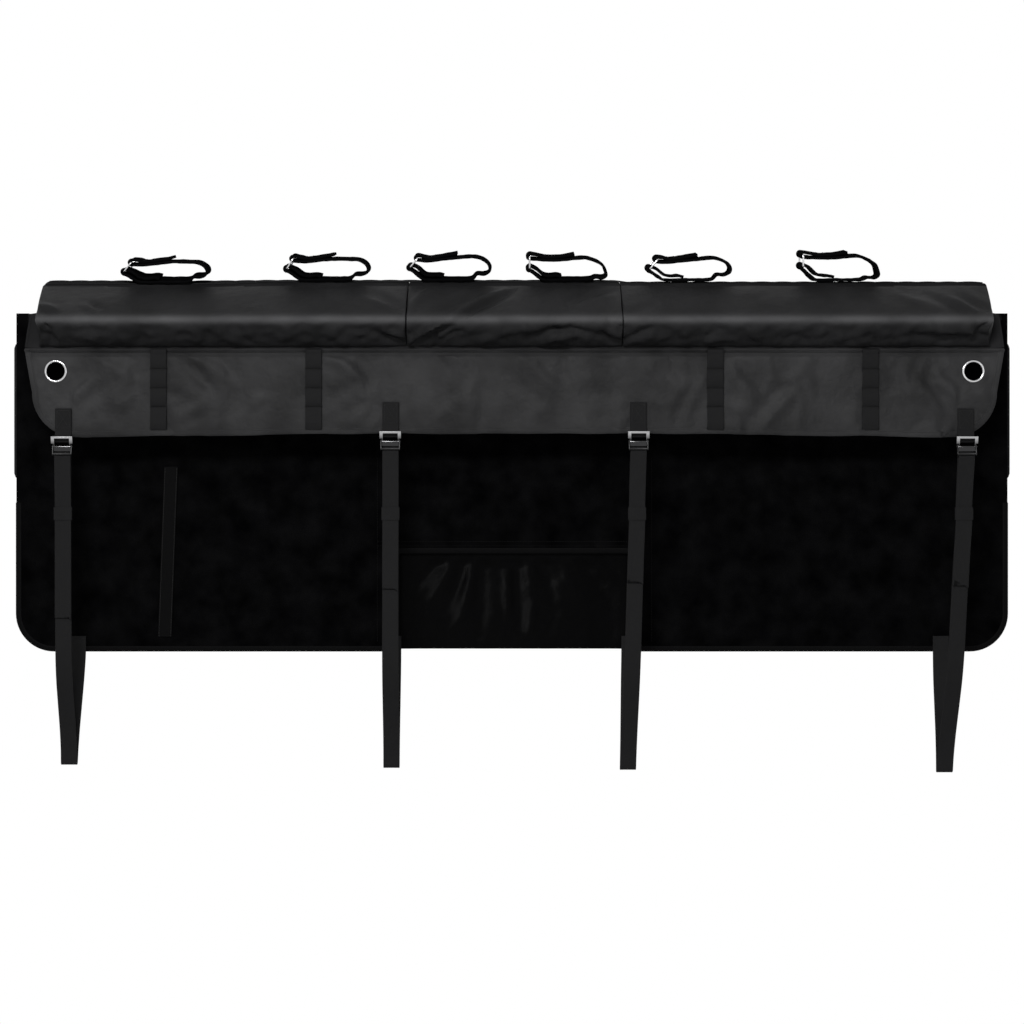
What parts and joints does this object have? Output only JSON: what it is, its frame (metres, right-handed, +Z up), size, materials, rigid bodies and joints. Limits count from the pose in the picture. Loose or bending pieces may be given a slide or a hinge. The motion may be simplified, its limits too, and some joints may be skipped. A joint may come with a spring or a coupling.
{
  "type": "tailgate bike pad",
  "caption": "Padded cover that hangs over a pickup tailgate, with foam pods, strap loops for bicycle frames and buckled tie straps.",
  "frame": {"origin": "underside of the saddle, midway along it, where the top of the tailgate bears", "axes": "+X along the tailgate to the right as seen from the truck bed, +Y away from the bed, +Z up"},
  "size_m": [1.591, 0.1485, 0.8301],
  "materials": {
    "shell_fabric": "matte coated polyester",
    "flap_fabric": "matte coated polyester",
    "suede_lining": "brushed fleece",
    "satin_fabric": "satin nylon",
    "binding_tape": "woven tape",
    "webbing": "woven polyester webbing",
    "cradle_webbing": "hook and loop webbing",
    "plated_steel": "zinc plated",
    "chromed_steel": "bright nickel"
  },
  "bodies": {
    "pad": {"pad_left": "shell_fabric", "pad_middle": "shell_fabric", "pad_right": "shell_fabric", "outer_bolster": "shell_fabric", "front_flap": "flap_fabric", "saddle_panel": "shell_fabric", "outer_panel": "suede_lining", "access_flap": "satin_fabric", "panel_binding": "binding_tape", "flap_binding": "binding_tape", "hook_strip_left": "binding_tape", "hook_strip_right": "binding_tape", "seam_tape": "binding_tape", "rail_webbing": "webbing", "daisy_webbing_1": "webbing", "buckle_tab_1": "webbing", "tie_strap_1": "webbing", "strap_keeper_1": "webbing", "buckle_frame_1": "plated_steel", "buckle_pin_1": "plated_steel", "daisy_webbing_2": "webbing", "buckle_tab_2": "webbing", "tie_strap_2": "webbing", "strap_keeper_2": "webbing", "buckle_frame_2": "plated_steel", "buckle_pin_2": "plated_steel", "daisy_webbing_3": "webbing", "buckle_tab_3": "webbing", "tie_strap_3": "webbing", "strap_keeper_3": "webbing", "buckle_frame_3": "plated_steel", "buckle_pin_3": "plated_steel", "daisy_webbing_4": "webbing", "buckle_tab_4": "webbing", "tie_strap_4": "webbing", "strap_keeper_4": "webbing", "buckle_frame_4": "plated_steel", "buckle_pin_4": "plated_steel", "cradle_strap_1": "cradle_webbing", "cradle_ring_1": "plated_steel", "cradle_strap_2": "cradle_webbing", "cradle_ring_2": "plated_steel", "cradle_strap_3": "cradle_webbing", "cradle_ring_3": "plated_steel", "cradle_strap_4": "cradle_webbing", "cradle_ring_4": "plated_steel", "cradle_strap_5": "cradle_webbing", "cradle_ring_5": "plated_steel", "cradle_strap_6": "cradle_webbing", "cradle_ring_6": "plated_steel", "grommet_left": "chromed_steel", "grommet_right": "chromed_steel"},
    "lever_1": {"cam_lever_1": "chromed_steel"},
    "lever_2": {"cam_lever_2": "chromed_steel"},
    "lever_3": {"cam_lever_3": "chromed_steel"},
    "lever_4": {"cam_lever_4": "chromed_steel"}
  },
  "joints": [
    {"name": "lever_1_press", "type": "hinge", "parent": "pad", "child": "lever_1", "pos_m": [-0.7015, -0.0447, -0.201], "axis": [1, 0, 0], "range_deg": [-25, 0], "stiffness_Nm_per_rad": 0.05},
    {"name": "lever_2_press", "type": "hinge", "parent": "pad", "child": "lever_2", "pos_m": [-0.1925, -0.0447, -0.193], "axis": [1, 0, 0], "range_deg": [-25, 0], "stiffness_Nm_per_rad": 0.05},
    {"name": "lever_3_press", "type": "hinge", "parent": "pad", "child": "lever_3", "pos_m": [0.1925, -0.0447, -0.193], "axis": [1, 0, 0], "range_deg": [-25, 0], "stiffness_Nm_per_rad": 0.05},
    {"name": "lever_4_press", "type": "hinge", "parent": "pad", "child": "lever_4", "pos_m": [0.7015, -0.0447, -0.201], "axis": [1, 0, 0], "range_deg": [-25, 0], "stiffness_Nm_per_rad": 0.05}
  ]
}
